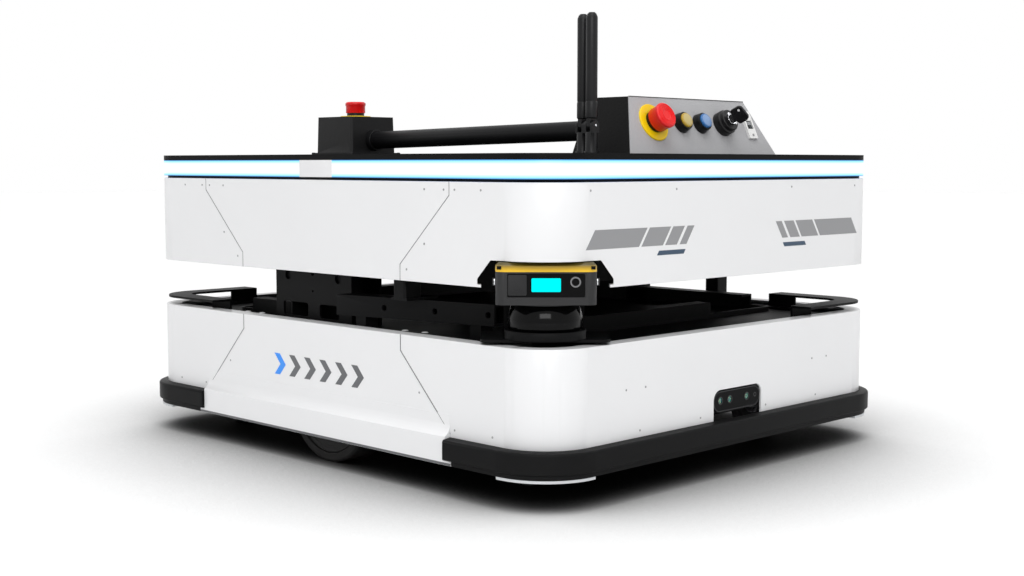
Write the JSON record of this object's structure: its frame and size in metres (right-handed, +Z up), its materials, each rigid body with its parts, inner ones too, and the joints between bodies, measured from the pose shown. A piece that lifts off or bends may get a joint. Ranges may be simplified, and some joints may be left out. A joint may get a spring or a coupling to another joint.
{
  "type": "autonomous mobile robot",
  "caption": "Low rectangular indoor transport robot with two drive wheels, swivel casters, corner laser scanners, bumpers, a flat top plate and a control console.",
  "frame": {"origin": "on the floor under the middle of the body, below the drive axle", "axes": "+X is the driving direction (the end with the depth camera and the console), +Y is the robot's left side, +Z is up"},
  "size_m": [0.774, 0.652, 0.5202],
  "materials": {
    "cover_paint": "satin powder coat",
    "bumper_rubber": "matt",
    "rail_plastic": "matt",
    "pad_plastic": "satin",
    "light_guide": "frosted light guide",
    "plate_black": "fine texture black",
    "frame_steel": "black powder coat",
    "case_aluminium": "anodised",
    "scanner_grey": "satin",
    "signal_yellow": "satin",
    "dark_window": "polished infrared window",
    "camera_body": "satin",
    "hub_plastic": "matt",
    "tyre_rubber": "matt tread",
    "motor_metal": "cast and anodised",
    "zinc_steel": "zinc plated",
    "caster_tread": "polyurethane",
    "console_paint": "fine texture dark",
    "panel_grey": "fine texture grey",
    "stop_yellow": "satin",
    "stop_red": "satin",
    "bezel_metal": "satin black",
    "button_yellow": "translucent",
    "button_blue": "translucent",
    "key_steel": "black key in a steel core",
    "port_plastic": "satin",
    "box_grey": "satin",
    "conduit_grey": "satin",
    "antenna_black": "satin black"
  },
  "bodies": {
    "base": {"antenna_bases": "antenna_black", "battery_pack": "case_aluminium", "bumper_front": "bumper_rubber", "bumper_rails": "rail_plastic", "bumper_rear": "bumper_rubber", "camera_bracket": "frame_steel", "caster_plates": "zinc_steel", "chassis": "frame_steel", "conduit": "conduit_grey", "console_housing": "console_paint", "console_panel": "panel_grey", "control_bezels": "bezel_metal", "corner_guards": "frame_steel", "corner_pads": "pad_plastic", "depth_camera": "camera_body", "drive_motor_left": "motor_metal", "drive_motor_right": "motor_metal", "electronics_box": "case_aluminium", "light_band": "light_guide", "lower_cover_front": "cover_paint", "lower_cover_left": "cover_paint", "lower_cover_rear": "cover_paint", "lower_cover_right": "cover_paint", "lower_deck": "frame_steel", "port_plate": "port_plastic", "portal": "frame_steel", "rear_stop_box": "box_grey", "scanner_beams": "frame_steel", "scanner_bodies": "scanner_grey", "scanner_brackets": "frame_steel", "scanner_caps": "signal_yellow", "scanner_windows": "dark_window", "stop_bases": "stop_yellow", "top_plate": "plate_black", "tower_left": "frame_steel", "tower_right": "frame_steel", "upper_cover_front": "cover_paint", "upper_cover_left": "cover_paint", "upper_cover_rear": "cover_paint", "upper_cover_right": "cover_paint", "upper_frame": "frame_steel"},
    "drive_wheel_right": {"drive_hub_right": "hub_plastic", "drive_tyre_right": "tyre_rubber"},
    "drive_wheel_left": {"drive_hub_left": "hub_plastic", "drive_tyre_left": "tyre_rubber"},
    "caster_swivel_front_right": {"caster_fork_front_right": "zinc_steel"},
    "caster_roller_front_right": {"caster_wheel_front_right": "caster_tread"},
    "caster_swivel_front_left": {"caster_fork_front_left": "zinc_steel"},
    "caster_roller_front_left": {"caster_wheel_front_left": "caster_tread"},
    "caster_swivel_rear_right": {"caster_fork_rear_right": "zinc_steel"},
    "caster_roller_rear_right": {"caster_wheel_rear_right": "caster_tread"},
    "caster_swivel_rear_left": {"caster_fork_rear_left": "zinc_steel"},
    "caster_roller_rear_left": {"caster_wheel_rear_left": "caster_tread"},
    "stop_front": {"stop_head_front": "stop_red"},
    "stop_rear": {"stop_head_rear": "stop_red"},
    "push_yellow": {"button_yellow": "button_yellow"},
    "push_blue": {"button_blue": "button_blue"},
    "key": {"switch_key": "key_steel"},
    "mast_a": {"antenna_mast_a": "antenna_black"},
    "mast_b": {"antenna_mast_b": "antenna_black"}
  },
  "joints": [
    {"name": "wheel_right", "type": "hinge", "parent": "base", "child": "drive_wheel_right", "pos_m": [0, -0.28, 0.076], "axis": [0, 1, 0], "continuous": true},
    {"name": "wheel_left", "type": "hinge", "parent": "base", "child": "drive_wheel_left", "pos_m": [0, 0.28, 0.076], "axis": [0, 1, 0], "continuous": true},
    {"name": "swivel_front_right", "type": "hinge", "parent": "base", "child": "caster_swivel_front_right", "pos_m": [0.278, -0.215, 0.09], "axis": [0, 0, 1], "continuous": true},
    {"name": "roll_front_right", "type": "hinge", "parent": "caster_swivel_front_right", "child": "caster_roller_front_right", "pos_m": [0.256, -0.215, 0.0375], "axis": [0, 1, 0], "continuous": true},
    {"name": "swivel_front_left", "type": "hinge", "parent": "base", "child": "caster_swivel_front_left", "pos_m": [0.278, 0.215, 0.09], "axis": [0, 0, 1], "continuous": true},
    {"name": "roll_front_left", "type": "hinge", "parent": "caster_swivel_front_left", "child": "caster_roller_front_left", "pos_m": [0.256, 0.215, 0.0375], "axis": [0, 1, 0], "continuous": true},
    {"name": "swivel_rear_right", "type": "hinge", "parent": "base", "child": "caster_swivel_rear_right", "pos_m": [-0.278, -0.215, 0.09], "axis": [0, 0, 1], "continuous": true},
    {"name": "roll_rear_right", "type": "hinge", "parent": "caster_swivel_rear_right", "child": "caster_roller_rear_right", "pos_m": [-0.3, -0.215, 0.0375], "axis": [0, 1, 0], "continuous": true},
    {"name": "swivel_rear_left", "type": "hinge", "parent": "base", "child": "caster_swivel_rear_left", "pos_m": [-0.278, 0.215, 0.09], "axis": [0, 0, 1], "continuous": true},
    {"name": "roll_rear_left", "type": "hinge", "parent": "caster_swivel_rear_left", "child": "caster_roller_rear_left", "pos_m": [-0.3, 0.215, 0.0375], "axis": [0, 1, 0], "continuous": true},
    {"name": "stop_front_press", "type": "slide", "parent": "base", "child": "stop_front", "axis": [-0.9116, 0, -0.4111], "range_m": [0, 0.004], "stiffness_N_per_m": 900, "springref_m": -0.004},
    {"name": "stop_rear_press", "type": "slide", "parent": "base", "child": "stop_rear", "axis": [0, 0, -1], "range_m": [0, 0.004], "stiffness_N_per_m": 900, "springref_m": -0.004},
    {"name": "yellow_press", "type": "slide", "parent": "base", "child": "push_yellow", "axis": [-0.9116, 0, -0.4111], "range_m": [0, 0.0025], "stiffness_N_per_m": 400, "springref_m": -0.003},
    {"name": "blue_press", "type": "slide", "parent": "base", "child": "push_blue", "axis": [-0.9116, 0, -0.4111], "range_m": [0, 0.0025], "stiffness_N_per_m": 400, "springref_m": -0.003},
    {"name": "key_turn", "type": "hinge", "parent": "base", "child": "key", "pos_m": [0.31722, 0.0469, 0.4017], "axis": [0.9116, 0, 0.4111], "range_deg": [0, 90]},
    {"name": "antenna_a_tilt", "type": "hinge", "parent": "base", "child": "mast_a", "pos_m": [0.276, -0.153, 0.3977], "axis": [1, 0, 0], "range_deg": [0, 90]},
    {"name": "antenna_b_tilt", "type": "hinge", "parent": "base", "child": "mast_b", "pos_m": [0.296, -0.161, 0.3977], "axis": [1, 0, 0], "range_deg": [0, 90]}
  ]
}
